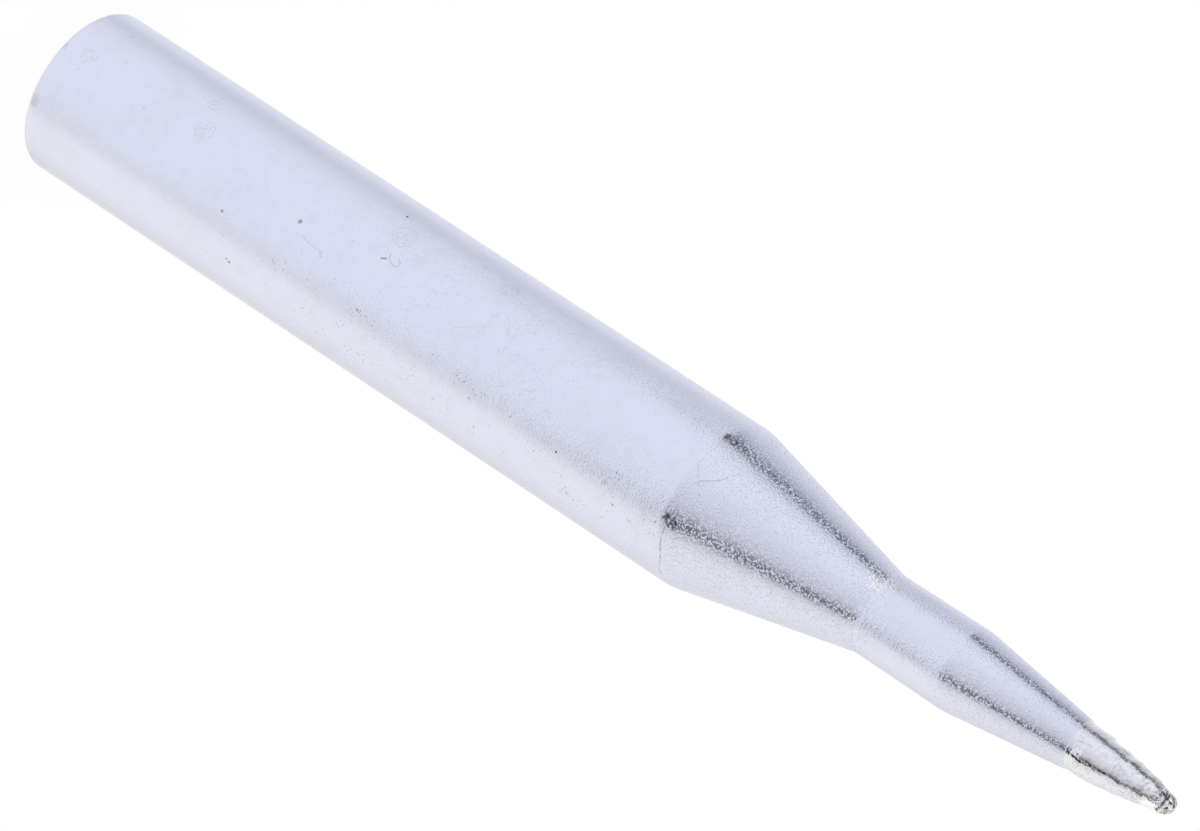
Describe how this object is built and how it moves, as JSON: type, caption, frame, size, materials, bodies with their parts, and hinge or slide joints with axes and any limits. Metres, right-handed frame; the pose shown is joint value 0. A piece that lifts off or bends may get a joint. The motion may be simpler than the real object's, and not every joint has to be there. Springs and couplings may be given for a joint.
{
  "type": "soldering iron tip",
  "caption": "Plated copper soldering iron tip: straight sleeve shank with a blind heater bore, double taper, slim neck and a tinned pencil point with a frozen solder bead.",
  "frame": {"origin": "centre of the shank's rear face, which the tip stands on", "axes": "+Z along the turning axis, from the rear face to the soldering point. The heater bore opens towards -Z. -Y faces the picture's camera."},
  "size_m": [0.0066, 0.0066, 0.0526],
  "materials": {
    "plating": "satin",
    "solder": "satin"
  },
  "bodies": {
    "root": {"tip_body": "plating", "solder_coat": "solder"}
  },
  "joints": []
}
